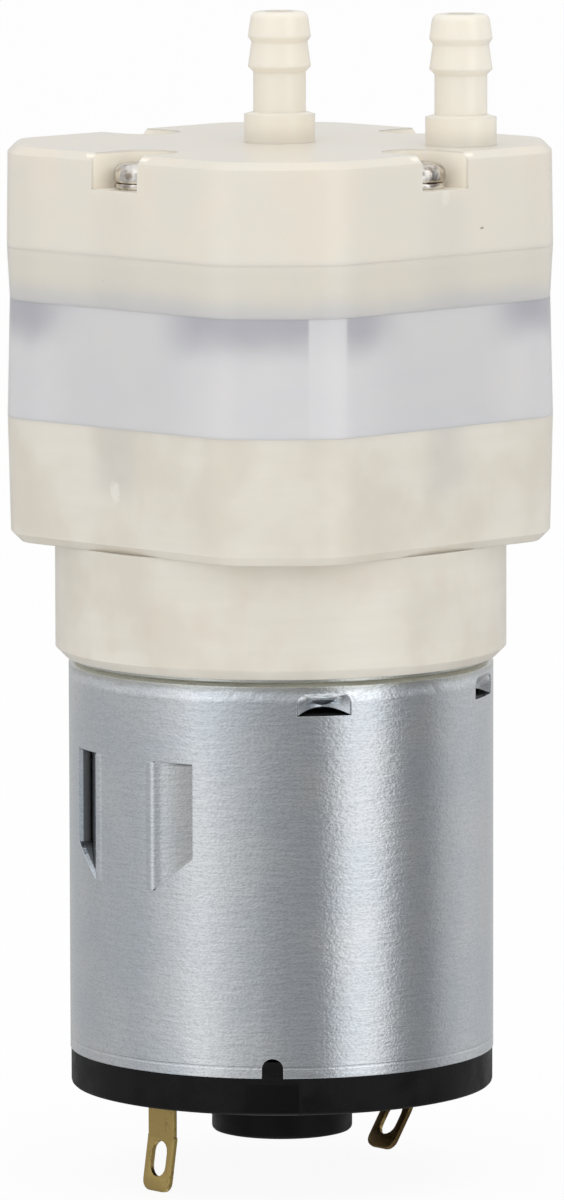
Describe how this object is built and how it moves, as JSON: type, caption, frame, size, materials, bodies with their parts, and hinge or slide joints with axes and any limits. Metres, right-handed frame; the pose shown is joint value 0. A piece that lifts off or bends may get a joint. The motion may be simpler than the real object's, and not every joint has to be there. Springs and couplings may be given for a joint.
{
  "type": "diaphragm vacuum pump",
  "caption": "Small diaphragm vacuum pump: stacked plastic head with two barbed hose nozzles on top, screwed to a round brushed motor with solder terminals.",
  "frame": {"origin": "on the motor's axis, at the rear edge of its steel can", "axes": "+Z along the motor's axis towards the hose nozzles; -Y is the pictured front"},
  "size_m": [0.0312, 0.0312, 0.0671],
  "materials": {
    "cover_plastic": "cream translucent moulded nylon",
    "chamber_plastic": "milky translucent moulded nylon",
    "seal_rubber": "pale silicone rubber",
    "black_rubber": "black moulded rubber",
    "acetal": "white acetal",
    "bright_steel": "nickel-plated steel",
    "zinc_steel": "bright zinc-plated steel sheet",
    "ferrite": "dark sintered ferrite",
    "bronze": "oiled sintered bronze",
    "lamination_steel": "stacked electrical steel",
    "copper_wire": "enamelled copper wire",
    "copper": "turned copper",
    "spring_copper": "rolled spring copper alloy",
    "rotor_plastic": "natural moulded plastic",
    "black_plastic": "black moulded plastic, satin",
    "terminal_brass": "stamped brass, slightly tarnished",
    "carbon": "pressed copper-carbon"
  },
  "bodies": {
    "housing": {"top_cover": "cover_plastic", "cover_gasket": "seal_rubber", "outlet_valve": "black_rubber", "valve_plate": "cover_plastic", "inlet_valve_right": "black_rubber", "inlet_valve_rear": "black_rubber", "inlet_valve_left": "black_rubber", "inlet_valve_front": "black_rubber", "diaphragm": "black_rubber", "chamber_body": "chamber_plastic", "base_housing": "cover_plastic", "head_screws": "bright_steel", "head_washers": "bright_steel", "motor_screws": "bright_steel", "motor_can": "zinc_steel", "magnet_left": "ferrite", "magnet_right": "ferrite", "magnet_spring": "bright_steel", "front_bearing": "bronze", "rear_bearing": "bronze", "end_cap": "black_plastic", "terminal_front": "terminal_brass", "terminal_rear": "terminal_brass", "brush_arm_front": "spring_copper", "brush_arm_rear": "spring_copper", "brush_front": "carbon", "brush_rear": "carbon"},
    "rotor": {"motor_shaft": "bright_steel", "armature_core": "lamination_steel", "windings": "copper_wire", "commutator_hub": "rotor_plastic", "commutator_segments": "copper", "rotor_spacer": "rotor_plastic", "front_thrust_washer": "rotor_plastic", "rear_thrust_washer": "rotor_plastic", "crank_hub": "acetal", "thrust_ball": "bright_steel"},
    "wobble": {"wobble_plate": "acetal", "crank_pin": "bright_steel"}
  },
  "joints": [
    {"name": "motor_spin", "type": "hinge", "parent": "housing", "child": "rotor", "pos_m": [0, 0, 0], "axis": [0, 0, 1], "continuous": true},
    {"name": "wobble_turn", "type": "hinge", "parent": "rotor", "child": "wobble", "pos_m": [0, 0, 0.0403], "axis": [0.1089, 0, 0.9941], "continuous": true, "deforming": ["diaphragm"]}
  ],
  "couplings": [
    {"joint": "wobble_turn", "follows": "motor_spin", "ratio": -1}
  ]
}
